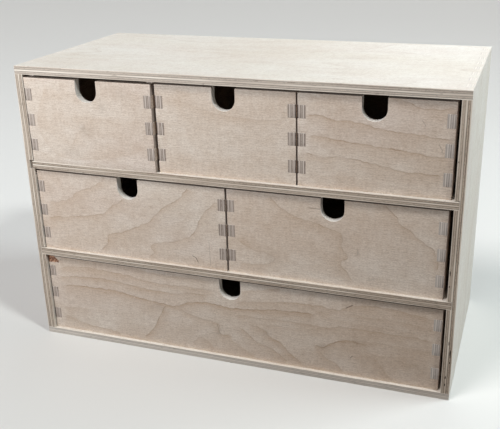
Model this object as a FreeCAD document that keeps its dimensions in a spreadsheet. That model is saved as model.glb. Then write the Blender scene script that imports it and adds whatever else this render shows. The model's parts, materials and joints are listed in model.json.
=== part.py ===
import FreeCAD, Part

# A desktop mini chest with six drawers, made of birch plywood boards.
#
# The case is a box of four boards with finger joints at its corners, two shelves housed in
# the sides and a thin back let into a groove all round. Each drawer is a small finger-jointed
# box with a thin bottom in a groove and a U-shaped finger notch in its front.
#
# Sizes are in millimetres. The origin is the middle of the underside, +X points to the right
# seen from the front, +Y to the back and +Z up.

import math
import os
import re

import Sketcher

# The driving dimensions
SIZES = (
    # outside of the case
    ("case_width", 420.0),
    ("case_depth", 202.0),
    ("case_height", 285.0),
    # boards of the case: the top and the sides share one thickness
    ("panel_thickness", 8.0),
    ("base_thickness", 6.5),
    ("shelf_thickness", 7.5),
    # fingers of each side along one corner; the top and the base have one more
    ("corner_fingers", 8),
    # housings in the sides that carry the shelves
    ("housing_depth", 4.2),
    ("housing_play", 0.4),
    ("shelf_end_play", 0.2),
    ("upper_shelf_gap", 2.8),
    # the back and its groove
    ("back_thickness", 4.0),
    ("back_inset", 3.0),
    ("back_groove", 4.0),
    ("back_play", 0.2),
    # boards and fit of every drawer
    ("drawer_wall", 7.5),
    ("drawer_head_gap", 1.7),
    ("drawer_home_recess", 3.3),
    ("drawer_stop_gap", 0.1),
    # finger joints of the drawers, counted on one corner of a side
    ("drawer_fingers", 3),
    ("drawer_finger", 11.7),
    ("drawer_finger_space", 13.0),
    # bottoms of the drawers
    ("bottom_thickness", 3.0),
    ("bottom_lift", 4.0),
    ("bottom_groove", 3.5),
    ("bottom_play", 0.15),
    # finger notch in each front
    ("notch_width", 21.5),
    ("notch_depth", 21.5),
    # gaps beside the drawers, from left to right in each row
    ("top_gap_left", 0.3),
    ("top_gap_first", 2.2),
    ("top_gap_second", 0.9),
    ("top_gap_right", 3.1),
    ("middle_gap_left", 0.2),
    ("middle_gap_between", 0.9),
    ("middle_gap_right", 3.9),
    ("bottom_gap_left", 0.2),
    ("bottom_gap_right", 2.6),
    # how far the two drawers that aren't fully closed stand out
    ("top_left_out", 3.0),
    ("middle_left_out", 0.8),
    # how far a cut runs past the board that it opens
    ("cut_overrun", 1.0),
)

# Rows of drawers: the shelf level that carries them, the gaps beside them and their names
ROWS = (
    (2, ("top_gap_left", "top_gap_first", "top_gap_second", "top_gap_right"),
     ("top_left", "top_middle", "top_right")),
    (1, ("middle_gap_left", "middle_gap_between", "middle_gap_right"),
     ("middle_left", "middle_right")),
    (0, ("bottom_gap_left", "bottom_gap_right"),
     ("bottom",)),
)

# Formulas for what follows from the driving dimensions
INNER_WIDTH = "(case_width - 2 * panel_thickness)"
INNER_HEIGHT = "(case_height - panel_thickness - base_thickness)"
INNER_DEPTH = "(case_depth - back_inset - back_thickness)"
CORNER_SEGMENT = "(case_depth / (2 * corner_fingers + 1))"
CASE_FRONT = "(-case_depth / 2)"
ROW_HEIGHT = f"(({INNER_HEIGHT} - {len(ROWS) - 1} * shelf_thickness) / {len(ROWS)})"
HOUSING_REACH = f"({INNER_WIDTH} / 2 + housing_depth - shelf_end_play)"
BACK_TONGUE = "(back_groove - back_play)"
DRAWER_HEIGHT = f"({ROW_HEIGHT} - drawer_head_gap)"
DRAWER_LENGTH = f"({INNER_DEPTH} - drawer_home_recess - drawer_stop_gap)"
DRAWER_FINGERS = "(drawer_fingers * drawer_finger + (drawer_fingers - 1) * drawer_finger_space)"
DRAWER_TAB = f"(({DRAWER_HEIGHT} - {DRAWER_FINGERS}) / 2)"
BOTTOM_TONGUE = "(bottom_groove - bottom_play)"


def level(row):
    """Height of the surface that carries a row of drawers, above the underside of the case."""
    return f"(base_thickness + {row} * ({ROW_HEIGHT} + shelf_thickness))"


doc = FreeCAD.newDocument("mini_chest")
sheet = doc.addObject("Spreadsheet::Sheet", "Sizes")
for line, (alias, size) in enumerate(SIZES, start=1):
    sheet.set(f"A{line}", alias)
    sheet.set(f"B{line}", str(size))
    sheet.setAlias(f"B{line}", alias)
doc.recompute()

ALIASES = {alias for alias, size in SIZES}
boards = []
cuts = []


def bound(formula):
    """The formula with each size written as a cell of the sheet."""
    return re.sub(r"[a-z_]+", lambda word: f"Sizes.{word[0]}" if word[0] in ALIASES else word[0], formula)


def number(formula):
    """What the formula comes to, for the first drawing of a sketch."""
    return float(sheet.evalExpression(bound(formula)))


def new_board(name, x="0", y="0", z="0"):
    """An empty board whose own origin lies at the given place."""
    board = doc.addObject("PartDesign::Body", name)
    board.Label = name
    for axis, formula in zip("xyz", (x, y, z)):
        board.setExpression(f"Placement.Base.{axis}", bound(formula))
    boards.append(board)
    return board


def origin_feature(board, role):
    return next(feature for feature in board.Origin.OriginFeatures if feature.Role == role)


def new_sketch(board, name, plane):
    sketch = board.newObject("Sketcher::SketchObject", f"{board.Name}_{name}")
    sketch.AttachmentSupport = (origin_feature(board, plane), "")
    sketch.MapMode = "FlatFace"
    return sketch


def hold(sketch, kind, geometry, point, formula):
    """Hold a point of the sketch at a distance from its origin that follows the formula."""
    index = sketch.addConstraint(Sketcher.Constraint(kind, -1, 1, geometry, point, number(formula)))
    sketch.setExpression(f"Constraints[{index}]", bound(formula))


def rectangle(sketch, left, right, low, high):
    """Add a rectangle with its four sides given by formulas."""
    first = sketch.GeometryCount
    places = [(left, low), (right, low), (right, high), (left, high)]
    corners = [FreeCAD.Vector(number(across), number(up), 0) for across, up in places]
    for side in range(4):
        sketch.addGeometry(Part.LineSegment(corners[side], corners[(side + 1) % 4]))
    for side in range(4):
        sketch.addConstraint(Sketcher.Constraint("Coincident", first + side, 2, first + (side + 1) % 4, 1))
    sketch.addConstraint(Sketcher.Constraint("Horizontal", first))
    sketch.addConstraint(Sketcher.Constraint("Vertical", first + 1))
    sketch.addConstraint(Sketcher.Constraint("Horizontal", first + 2))
    sketch.addConstraint(Sketcher.Constraint("Vertical", first + 3))
    hold(sketch, "DistanceX", first, 1, left)
    hold(sketch, "DistanceY", first, 1, low)
    hold(sketch, "DistanceX", first + 2, 1, right)
    hold(sketch, "DistanceY", first + 2, 1, high)


def notch_outline(sketch, centre, radius, top):
    """Add a U with straight sides: a half circle below, open towards the top edge."""
    middle = FreeCAD.Vector(0, number(centre), 0)
    reach = number(radius)
    up = number(top)
    circle = Part.Circle(middle, FreeCAD.Vector(0, 0, 1), reach)
    bend = sketch.addGeometry(Part.ArcOfCircle(circle, math.pi, 2 * math.pi))
    right = sketch.addGeometry(Part.LineSegment(middle + FreeCAD.Vector(reach, 0, 0),
                                                FreeCAD.Vector(reach, up, 0)))
    over = sketch.addGeometry(Part.LineSegment(FreeCAD.Vector(reach, up, 0),
                                               FreeCAD.Vector(-reach, up, 0)))
    left = sketch.addGeometry(Part.LineSegment(FreeCAD.Vector(-reach, up, 0),
                                               middle - FreeCAD.Vector(reach, 0, 0)))
    sketch.addConstraint(Sketcher.Constraint("Tangent", bend, 2, right, 1))
    sketch.addConstraint(Sketcher.Constraint("Coincident", right, 2, over, 1))
    sketch.addConstraint(Sketcher.Constraint("Coincident", over, 2, left, 1))
    sketch.addConstraint(Sketcher.Constraint("Tangent", left, 2, bend, 1))
    sketch.addConstraint(Sketcher.Constraint("Vertical", right))
    sketch.addConstraint(Sketcher.Constraint("Horizontal", over))
    sketch.addConstraint(Sketcher.Constraint("Vertical", left))
    sketch.addConstraint(Sketcher.Constraint("PointOnObject", bend, 3, -2))
    hold(sketch, "DistanceY", bend, 3, centre)
    hold(sketch, "DistanceY", over, 1, top)
    wide = sketch.addConstraint(Sketcher.Constraint("Radius", bend, reach))
    sketch.setExpression(f"Constraints[{wide}]", bound(radius))


def pad(board, sketch, thickness, behind):
    """Thicken a sketch, along its plane's normal or, if behind is set, the other way."""
    feature = board.newObject("PartDesign::Pad", f"{sketch.Name}_pad")
    feature.Profile = sketch
    feature.setExpression("Length", bound(thickness))
    feature.Reversed = behind
    return feature


def cut(board, sketch, behind, depth=None):
    """Cut a sketch into a board on the same side of the plane, to a depth or right through."""
    feature = board.newObject("PartDesign::Pocket", f"{sketch.Name}_cut")
    feature.Profile = sketch
    feature.Reversed = not behind
    if depth is None:
        feature.Type = "ThroughAll"
    else:
        feature.Type = "Length"
        feature.setExpression("Length", bound(depth))
    cuts.append(feature)
    return feature


def repeat(board, feature, axis, spacing, count):
    """Repeat a feature in a row along one of the board's own axes."""
    row = board.newObject("PartDesign::LinearPattern", f"{feature.Name}_row")
    row.Originals = [feature]
    row.Direction = (origin_feature(board, axis), [""])
    row.Mode = "Spacing"
    row.setExpression("Offset", bound(spacing))
    row.setExpression("Occurrences", bound(count))
    board.Tip = row
    return row


def case_lid(name, thickness, height, behind):
    """The top or the base of the case: its ends are slotted for the fingers of the sides."""
    board = new_board(name, y=CASE_FRONT, z=height)
    outline = new_sketch(board, "outline", "XY_Plane")
    rectangle(outline, "-case_width / 2", "case_width / 2", "0", "case_depth")
    pad(board, outline, thickness, behind)

    slots = new_sketch(board, "slots", "XY_Plane")
    inside, outside = f"{INNER_WIDTH} / 2", "case_width / 2 + cut_overrun"
    rectangle(slots, inside, outside, CORNER_SEGMENT, f"2 * {CORNER_SEGMENT}")
    rectangle(slots, f"-({outside})", f"-({inside})", CORNER_SEGMENT, f"2 * {CORNER_SEGMENT}")
    repeat(board, cut(board, slots, behind), "Y_Axis", f"2 * {CORNER_SEGMENT}", "corner_fingers")

    groove = new_sketch(board, "back_groove", "XY_Plane")
    reach = f"({INNER_WIDTH} / 2 + back_groove)"
    rectangle(groove, f"-{reach}", reach, INNER_DEPTH, f"{INNER_DEPTH} + back_thickness")
    cut(board, groove, behind, "back_groove")


def case_side(name, inner_face, behind):
    """A side of the case, drawn on its inner face, with fingers that enter the top and base."""
    board = new_board(name, x=inner_face, y=CASE_FRONT, z="base_thickness")
    outline = new_sketch(board, "outline", "YZ_Plane")
    rectangle(outline, "0", "case_depth", "0", INNER_HEIGHT)
    pad(board, outline, "panel_thickness", behind)

    finger = new_sketch(board, "finger", "YZ_Plane")
    rectangle(finger, CORNER_SEGMENT, f"2 * {CORNER_SEGMENT}",
              "-base_thickness", f"{INNER_HEIGHT} + panel_thickness")
    fingers = pad(board, finger, "panel_thickness", behind)
    repeat(board, fingers, "Y_Axis", f"2 * {CORNER_SEGMENT}", "corner_fingers")

    housings = new_sketch(board, "housings", "YZ_Plane")
    for row in range(1, len(ROWS)):
        top = f"({level(row)} - base_thickness)"
        rectangle(housings, "-cut_overrun", INNER_DEPTH, f"{top} - shelf_thickness", f"{top} + housing_play")
    cut(board, housings, behind, "housing_depth")

    groove = new_sketch(board, "back_groove", "YZ_Plane")
    rectangle(groove, INNER_DEPTH, f"{INNER_DEPTH} + back_thickness",
              "-back_groove", f"{INNER_HEIGHT} + back_groove")
    cut(board, groove, behind, "back_groove")


def shelf(name, row, left_gap):
    """A full-width shelf under a row of drawers, with its ends in the housings."""
    board = new_board(name, y=CASE_FRONT, z=f"{level(row)} - shelf_thickness")
    outline = new_sketch(board, "outline", "XY_Plane")
    rectangle(outline, f"-{HOUSING_REACH} + {left_gap}", HOUSING_REACH, "0", INNER_DEPTH)
    pad(board, outline, "shelf_thickness", behind=False)


def case_back():
    """The thin back, with a tongue in the groove of each of the four outer boards."""
    board = new_board("back_panel", y=f"{CASE_FRONT} + {INNER_DEPTH}", z="base_thickness")
    outline = new_sketch(board, "outline", "XZ_Plane")
    reach = f"({INNER_WIDTH} / 2 + {BACK_TONGUE})"
    rectangle(outline, f"-{reach}", reach, f"-{BACK_TONGUE}", f"{INNER_HEIGHT} + {BACK_TONGUE}")
    pad(board, outline, "back_thickness", behind=True)


def drawer_end(name, x, y, z, width, behind, notched):
    """The front or back of a drawer, drawn on its inner face and slotted for the sides."""
    board = new_board(name, x, y, z)
    outline = new_sketch(board, "outline", "XZ_Plane")
    rectangle(outline, f"-{width} / 2", f"{width} / 2", "0", DRAWER_HEIGHT)
    pad(board, outline, "drawer_wall", behind)

    slots = new_sketch(board, "slots", "XZ_Plane")
    inside, outside = f"{width} / 2 - drawer_wall", f"{width} / 2 + cut_overrun"
    rectangle(slots, inside, outside, DRAWER_TAB, f"{DRAWER_TAB} + drawer_finger")
    rectangle(slots, f"-({outside})", f"-({inside})", DRAWER_TAB, f"{DRAWER_TAB} + drawer_finger")
    slotted = cut(board, slots, behind)
    repeat(board, slotted, "Z_Axis", "drawer_finger + drawer_finger_space", "drawer_fingers")

    groove = new_sketch(board, "bottom_groove", "XZ_Plane")
    reach = f"({width} / 2 - drawer_wall + bottom_groove)"
    rectangle(groove, f"-{reach}", reach, "bottom_lift", "bottom_lift + bottom_thickness")
    cut(board, groove, behind, "bottom_groove")

    if notched:
        notch = new_sketch(board, "notch", "XZ_Plane")
        radius = "(notch_width / 2)"
        notch_outline(notch, f"{DRAWER_HEIGHT} - notch_depth + {radius}", radius,
                      f"{DRAWER_HEIGHT} + cut_overrun")
        cut(board, notch, behind)


def drawer_side(name, x, y, z, behind):
    """A side of a drawer, drawn on its inner face, with fingers that enter front and back."""
    board = new_board(name, x, y, z)
    outline = new_sketch(board, "outline", "YZ_Plane")
    rectangle(outline, "drawer_wall", f"{DRAWER_LENGTH} - drawer_wall", "0", DRAWER_HEIGHT)
    pad(board, outline, "drawer_wall", behind)

    finger = new_sketch(board, "finger", "YZ_Plane")
    rectangle(finger, "0", DRAWER_LENGTH, DRAWER_TAB, f"{DRAWER_TAB} + drawer_finger")
    fingers = pad(board, finger, "drawer_wall", behind)
    repeat(board, fingers, "Z_Axis", "drawer_finger + drawer_finger_space", "drawer_fingers")

    groove = new_sketch(board, "bottom_groove", "YZ_Plane")
    rectangle(groove, "drawer_wall - bottom_groove", f"{DRAWER_LENGTH} - drawer_wall + bottom_groove",
              "bottom_lift", "bottom_lift + bottom_thickness")
    cut(board, groove, behind, "bottom_groove")


def drawer_bottom(name, x, y, z, width):
    """The thin bottom of a drawer, with its four edges in the grooves of the walls."""
    board = new_board(name, x, y, z)
    outline = new_sketch(board, "outline", "XY_Plane")
    reach = f"({width} / 2 - drawer_wall + {BOTTOM_TONGUE})"
    rectangle(outline, f"-{reach}", reach, f"drawer_wall - {BOTTOM_TONGUE}",
              f"{DRAWER_LENGTH} - drawer_wall + {BOTTOM_TONGUE}")
    pad(board, outline, "bottom_thickness", behind=False)


def drawer(name, left, width, floor):
    """One drawer of five boards, at the place where it stands when the chest is at rest."""
    middle = f"({left} + {width} / 2)"
    out = f"{name}_out" if f"{name}_out" in ALIASES else "0"
    front = f"({CASE_FRONT} + drawer_home_recess - {out})"
    drawer_end(f"{name}_drawer_front", middle, f"{front} + drawer_wall", floor, width,
               behind=False, notched=True)
    drawer_end(f"{name}_drawer_back", middle, f"{front} + {DRAWER_LENGTH} - drawer_wall", floor, width,
               behind=True, notched=False)
    drawer_side(f"{name}_drawer_left_side", f"{left} + drawer_wall", front, floor, behind=True)
    drawer_side(f"{name}_drawer_right_side", f"{left} + {width} - drawer_wall", front, floor, behind=False)
    drawer_bottom(f"{name}_drawer_bottom", middle, front, f"{floor} + bottom_lift", width)


# The case
case_lid("top_panel", "panel_thickness", "case_height - panel_thickness", behind=False)
case_lid("base_panel", "base_thickness", "base_thickness", behind=True)
case_side("left_side_panel", f"-{INNER_WIDTH} / 2", behind=True)
case_side("right_side_panel", f"{INNER_WIDTH} / 2", behind=False)
shelf("lower_shelf", 1, "0")
shelf("upper_shelf", 2, "upper_shelf_gap")
case_back()

# The drawers, row by row, each row filled from left to right
for row, gaps, names in ROWS:
    row_width = f"(({INNER_WIDTH} - {' - '.join(gaps)}) / {len(names)})"
    edge = f"(-{INNER_WIDTH} / 2 + {gaps[0]})"
    for name, next_gap in zip(names, gaps[1:]):
        drawer(name, edge, row_width, level(row))
        edge = f"({edge} + {row_width} + {next_gap})"

doc.recompute()

# Checks before anything is written
for item in doc.Objects:
    if {"Invalid", "Error"} & set(item.State):
        raise RuntimeError(f"{item.Name} did not compute: {item.State}")
for feature in cuts:
    if feature.Shape.Volume >= feature.BaseFeature.Shape.Volume:
        raise RuntimeError(f"{feature.Name} cuts nothing")
for board in boards:
    if board.Shape.isNull() or not board.Shape.isValid() or len(board.Shape.Solids) != 1:
        raise RuntimeError(f"{board.Label} is not one sound solid")

os.makedirs("parts", exist_ok=True)
for board in boards:
    board.Shape.exportStep(os.path.join("parts", f"{board.Label}.step"))
print(f"{len(boards)} boards written")
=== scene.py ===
# %% [markdown]
# # A small plywood chest of drawers
#
# A desk-top chest: a case of birch plywood with finger joints, two shelves let into the sides, and
# six open-topped drawers with a finger notch each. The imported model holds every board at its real
# size, so this notebook measures them there: first come the boards, then wood, light and camera.

import json
import math

import bmesh
import bpy
import numpy as np
from mathutils import Matrix, Vector
from mathutils.geometry import delaunay_2d_cdt

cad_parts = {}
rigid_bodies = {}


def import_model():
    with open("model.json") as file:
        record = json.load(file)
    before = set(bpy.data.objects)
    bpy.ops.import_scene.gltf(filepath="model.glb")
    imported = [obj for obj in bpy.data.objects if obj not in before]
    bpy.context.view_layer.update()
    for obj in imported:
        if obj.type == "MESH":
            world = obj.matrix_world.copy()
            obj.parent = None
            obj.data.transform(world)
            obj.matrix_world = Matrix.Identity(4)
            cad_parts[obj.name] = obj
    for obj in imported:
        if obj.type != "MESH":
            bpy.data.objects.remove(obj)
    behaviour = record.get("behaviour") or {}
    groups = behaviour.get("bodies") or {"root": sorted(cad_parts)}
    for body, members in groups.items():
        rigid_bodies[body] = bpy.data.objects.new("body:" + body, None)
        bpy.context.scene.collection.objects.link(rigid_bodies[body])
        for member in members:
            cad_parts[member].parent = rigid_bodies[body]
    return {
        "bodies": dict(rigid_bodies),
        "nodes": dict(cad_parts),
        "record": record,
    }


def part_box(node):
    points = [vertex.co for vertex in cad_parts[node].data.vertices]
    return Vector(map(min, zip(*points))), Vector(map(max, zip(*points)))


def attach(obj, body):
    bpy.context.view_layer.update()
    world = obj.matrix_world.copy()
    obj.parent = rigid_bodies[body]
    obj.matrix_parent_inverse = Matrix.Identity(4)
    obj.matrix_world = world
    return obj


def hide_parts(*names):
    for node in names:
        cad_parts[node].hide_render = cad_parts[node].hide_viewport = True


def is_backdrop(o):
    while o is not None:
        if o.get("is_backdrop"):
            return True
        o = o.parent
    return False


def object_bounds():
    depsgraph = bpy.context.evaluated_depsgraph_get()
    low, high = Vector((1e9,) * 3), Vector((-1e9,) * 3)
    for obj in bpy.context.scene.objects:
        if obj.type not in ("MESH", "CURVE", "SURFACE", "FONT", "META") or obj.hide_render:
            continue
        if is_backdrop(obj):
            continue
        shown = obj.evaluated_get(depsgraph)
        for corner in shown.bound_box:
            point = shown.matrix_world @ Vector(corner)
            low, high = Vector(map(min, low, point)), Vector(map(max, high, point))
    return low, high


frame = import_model()
cad_low, cad_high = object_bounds()
MM = 0.001
AXES = {"x": 0, "y": 1, "z": 2}

# %% [markdown]
# ## Node maths as sums
#
# A wood finish needs dozens of small sums on sockets. They could be wired by hand, one Math node
# at a time, but then nobody can read them. A socket wrapped in a small class adds the node that
# each operator stands for, so the rest of the notebook writes plain expressions.

# %% A socket that can be used in sums
class Flow:
    """A socket in a graph. Sums with vectors use Vector Math, and sums with numbers use Math."""

    def __init__(self, graph, socket):
        self.graph = graph
        self.socket = socket

    def wide(self):
        return self.socket.type in ("VECTOR", "RGBA")

    def join(self, operation, first, second):
        both = (first, second)
        if not any(isinstance(v, tuple) or isinstance(v, Flow) and v.wide() for v in both):
            return self.graph.math(operation, first, second)
        narrow = [v for v in both if isinstance(v, Flow) and not v.wide()]
        if narrow and operation == "MULTIPLY":
            vector = first if second is narrow[0] else second
            return self.graph.add("ShaderNodeVectorMath", {"operation": "SCALE"}, vector, Scale=narrow[0])
        even = [(v, v, v) if isinstance(v, (int, float)) else v for v in both]
        return self.graph.add("ShaderNodeVectorMath", {"operation": operation}, *even)


# each sum has two methods: the second is for a plain value that stands on the left
SUMS = {"add": "ADD", "sub": "SUBTRACT", "mul": "MULTIPLY"}
for name, operation in SUMS.items():
    setattr(Flow, f"__{name}__", lambda a, b, kind=operation: a.join(kind, a, b))
    setattr(Flow, f"__r{name}__", lambda a, b, kind=operation: a.join(kind, b, a))
Flow.__gt__ = lambda a, b: a.join("GREATER_THAN", a, b)
print("sums on sockets:", *SUMS, "and >")

# %% A graph that adds any node
class Graph:
    """A node tree with one method for every kind of node."""

    def __init__(self, tree):
        self.tree = tree

    def wire(self, node, key, value):
        if isinstance(key, int):
            socket = node.inputs[key]
        else:
            socket = next(s for s in node.inputs if s.name == key and s.enabled)
        for one in value if isinstance(value, list) else [value]:
            if isinstance(one, Flow):
                self.tree.links.new(one.socket, socket)
            elif one is not None:
                socket.default_value = one

    def add(self, kind, settings=None, *values, output=0, **named):
        """Add a node: its settings first, then values by place, then values by socket name."""
        node = self.tree.nodes.new(kind)
        for name, setting in (settings or {}).items():
            setattr(node, name, setting)
        for place, value in enumerate(values):
            self.wire(node, place, value)
        for name, value in named.items():
            self.wire(node, name.replace("_", " "), value)
        outputs = [s for s in node.outputs if s.enabled]
        found = outputs[output] if isinstance(output, int) else node.outputs[output]
        return Flow(self, found)

    def math(self, operation, *values):
        return self.add("ShaderNodeMath", {"operation": operation}, *values)


print("a graph adds nodes and wires their sockets")

# %% [markdown]
# ## The jointed board
#
# Nearly every board here follows one rule: a flat blank with a row of equal boxes along each end.
# Take the boxes away and the board is slotted; add them and it has fingers. On a bench that is
# one set-up of the saw for both halves of the joint. The outline could be drawn point by point,
# but a Geometry Nodes tree that places a row of boxes and then adds or cuts them says the rule
# itself, and one tree makes all 37 boards. Grooves, housings and notches come in as cutters.

# %% The tree that makes a jointed board
WELD = 0.002 * MM  # corners nearer to each other than this become one
FACE_COSINE = 0.9  # faces turned less than this from the board's flat side show its edge


def jointed_board_tree():
    tree = bpy.data.node_groups.new("jointed_board", "GeometryNodeTree")
    graph = Graph(tree)
    for name, kind in (("Corner", "Vector"), ("Size", "Vector"), ("Low Start", "Vector"),
            ("Low Finger", "Vector"), ("High Start", "Vector"), ("High Finger", "Vector"),
            ("Step", "Vector"), ("Count", "Int"), ("Stands Out", "Bool"), ("Through", "Vector"),
            ("Cutters", "Object"), ("Face Finish", "Material"), ("Edge Finish", "Material")):
        tree.interface.new_socket(name, in_out="INPUT", socket_type=f"NodeSocket{kind}")
    tree.interface.new_socket("Board", in_out="OUTPUT", socket_type="NodeSocketGeometry")
    entry = tree.nodes.new("NodeGroupInput")

    def given(name):
        return Flow(graph, entry.outputs[name])

    def node(kind, settings=None, *values, **named):
        return graph.add(f"GeometryNode{kind}", settings, *values, **named)

    def solid(operation, **meshes):
        return node("MeshBoolean", {"operation": operation, "solver": "EXACT"}, **meshes)

    blank = node("MeshCube", Size=given("Size"))
    blank = node("Transform", Geometry=blank,
        Translation=given("Corner") + given("Size") * 0.5)
    rows = []
    for end in ("Low", "High"):
        places = node("MeshLine", {"mode": "OFFSET"}, Count=given("Count"),
            Start_Location=given(f"{end} Start"), Offset=given("Step"))
        finger = node("MeshCube", Size=given(f"{end} Finger"))
        row = node("InstanceOnPoints", Points=places, Instance=finger)
        rows.append(node("RealizeInstances", Geometry=row))
    slotted = solid("DIFFERENCE", Mesh_1=blank, Mesh_2=rows)
    fingered = solid("UNION", Mesh=[blank, *rows])
    jointed = node("Switch", {"input_type": "GEOMETRY"}, given("Stands Out"),
        slotted, fingered)
    cutters = node("ObjectInfo", Object=given("Cutters"), output="Geometry")
    board = solid("DIFFERENCE", Mesh_1=jointed, Mesh_2=cutters, Self_Intersection=True)
    board = node("MergeByDistance", Geometry=board, Distance=WELD)
    board = node("RealizeInstances", Geometry=board)
    facing = graph.add("ShaderNodeVectorMath", {"operation": "DOT_PRODUCT"},
        node("InputNormal"), given("Through"), output="Value")
    flat = graph.math("ABSOLUTE", facing) > FACE_COSINE
    board = node("SetMaterial", Geometry=board, Material=given("Edge Finish"))
    board = node("SetMaterial", Geometry=board, Selection=flat,
        Material=given("Face Finish"))
    leave = tree.nodes.new("NodeGroupOutput")
    graph.wire(leave, 0, board)
    return tree


BOARD_TREE = jointed_board_tree()
SOCKETS = {s.name: s.identifier for s in BOARD_TREE.interface.items_tree if s.in_out == "INPUT"}
print("jointed board tree:", len(BOARD_TREE.nodes), "nodes")

# %% [markdown]
# ## Cutters
#
# A groove is the board that sits in it, grown by its play, so most cutters are read straight from
# a neighbour's box. The finger notch is a U with a half-round foot. They could be separate
# objects each, but one mesh that holds all cutters of a board keeps the tree short.

# %% Prisms, from which every straight cut is made
PAST = 1.0 * MM  # how far an open cut runs past the board


def prism(outline, start, end, axis):
    cut = AXES[axis]
    mesh = bmesh.new()
    rings = []
    for place in (start, end):
        points = [(*point[:cut], place, *point[cut:]) for point in outline]
        rings.append([mesh.verts.new(point) for point in points])
        mesh.faces.new(rings[-1])
    for k in range(len(outline)):
        n = (k + 1) % len(outline)
        mesh.faces.new((rings[0][k], rings[0][n], rings[1][n], rings[1][k]))
    bmesh.ops.recalc_face_normals(mesh, faces=mesh.faces)
    return mesh


def box_cutter(low, high):
    return prism([(low[0], low[1]), (high[0], low[1]), (high[0], high[1]), (low[0], high[1])],
        low[2], high[2], "z")


def around(node, grow):
    """A cutter for the board that sits in a groove, grown by so much along x, y and z."""
    low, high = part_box(node)
    return box_cutter(low - Vector(grow), high + Vector(grow))


print("an open cut runs", PAST / MM, "mm past the board")

# %% Notches, chamfers and voids
NOTCH_WIDTH = 21.5 * MM
NOTCH_DEPTH = 21.5 * MM
NOTCH_STEPS = 40  # straight steps around the half-round foot
RAGGED = 0.25  # how far a void's wall strays from an even oval, as a share


def notch_cutter(node):
    low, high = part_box(node)
    radius = NOTCH_WIDTH / 2
    middle = (low.x + high.x) / 2
    centre = high.z - NOTCH_DEPTH + radius
    turn = [math.pi + math.pi * k / NOTCH_STEPS for k in range(NOTCH_STEPS + 1)]
    outline = [(middle + radius * math.cos(t), centre + radius * math.sin(t)) for t in turn]
    outline += [(middle + radius, high.z + PAST), (middle - radius, high.z + PAST)]
    return prism(outline, low.y - PAST, high.y + PAST, "y")


def corner_cutter(x, y, low, high, sign, size):
    """Take a chamfer off an upright corner: its place in x and y, then its two heights."""
    past = sign * PAST
    outline = [(x - sign * size - past, y - PAST), (x + past, y - PAST), (x + past, y + size + PAST)]
    return prism(outline, low - PAST, high + PAST, "z")


def void_cutter(x, z, width, height, depth):
    """A small ragged void, where a knot or a gap in an inner ply meets the front edge."""
    mesh = bmesh.new()
    bmesh.ops.create_icosphere(mesh, subdivisions=2, radius=1.0)
    for v in mesh.verts:
        waves = 9 * v.co.z + 5 * v.co.x + 400 * z
        v.co = Vector((x + v.co.x * width / 2 * (1 + RAGGED * math.sin(waves)),
            cad_low.y + v.co.y * depth, z + v.co.z * height / 2))
    return mesh


def cutter_object(name, shapes):
    whole = bmesh.new()
    for shape in shapes:
        held = bpy.data.meshes.new("held")
        shape.to_mesh(held)
        whole.from_mesh(held)
        bpy.data.meshes.remove(held)
    mesh = bpy.data.meshes.new(name)
    whole.to_mesh(mesh)
    return bpy.data.objects.new(name, mesh)


print("notch:", round(NOTCH_WIDTH / MM, 2), "mm wide and", round(NOTCH_DEPTH / MM, 2), "mm deep")

# %% [markdown]
# ## Birch, face and edge
#
# The faces are rotary-cut birch: a pale, slightly pink or straw-coloured skin with short fine
# pores, silky fibres and, where the knife crosses a growth ring, a thin brown line. The edges
# show five plies, turn about: long grain is light and streaky, end grain is darker and
# speckled, with thin glue lines between. Pictures of wood would give this quickly, but they
# repeat and smear; noise in each board's own coordinates gives every board its own piece of log.

# %% Helpers for the finishes
def colour(red, green, blue):
    """A colour given as it is seen on a screen, 0 to 255, in the renderer's linear light."""
    def line(v):
        v = v / 255
        return v / 12.92 if v <= 0.04045 else ((v + 0.055) / 1.055) ** 2.4
    return (line(red), line(green), line(blue), 1.0)


def new_finish(name):
    finish = bpy.data.materials.new(name)
    finish.use_nodes = True
    finish.node_tree.nodes.clear()
    return finish, Graph(finish.node_tree)


def read(graph, name, output="Fac"):
    return graph.add("ShaderNodeAttribute", {"attribute_name": name}, output=output)


def noise(place, stretch, detail=2.0, rough=0.5):
    """Smooth noise, 0 to 1, with its own count of blobs per metre along, across and through."""
    return place.graph.add("ShaderNodeTexNoise", None, Vector=place * stretch, Scale=1.0, Detail=detail,
        Roughness=rough, output="Fac")


def ramp(value, low, high, to_low=0.0, to_high=1.0):
    """Turn low to high of a value into to_low to to_high, smoothly, and hold it outside."""
    return value.graph.add("ShaderNodeMapRange", {"interpolation_type": "SMOOTHSTEP"}, value,
        low, high, to_low, to_high)


def blend(graph, share, first, second):
    return graph.add("ShaderNodeMix", {"data_type": "RGBA", "clamp_factor": True},
        Factor=share, A=first, B=second)


def lay_over(graph, tone, layers):
    """Lay colours over a tone one after the other, each with its own share."""
    for share, over in layers:
        tone = blend(graph, share, tone, over)
    return tone


def finish_off(graph, tone, rough, height=None, depth=0.0, gloss=0.3):
    """The shader itself: a dull surface, with a shallow relief where a height is given."""
    relief = None
    if height is not None:
        relief = graph.add("ShaderNodeBump", None, Height=height, Distance=depth, Strength=1.0)
    shell = graph.add("ShaderNodeBsdfPrincipled", None, Base_Color=tone, Roughness=rough, Normal=relief,
        Specular_IOR_Level=gloss)
    leave = graph.tree.nodes.new("ShaderNodeOutputMaterial")
    graph.tree.links.new(shell.socket, leave.inputs["Surface"])


print("a mid grey of 128 is", round(colour(128, 128, 128)[0], 3), "in linear light")

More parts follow.
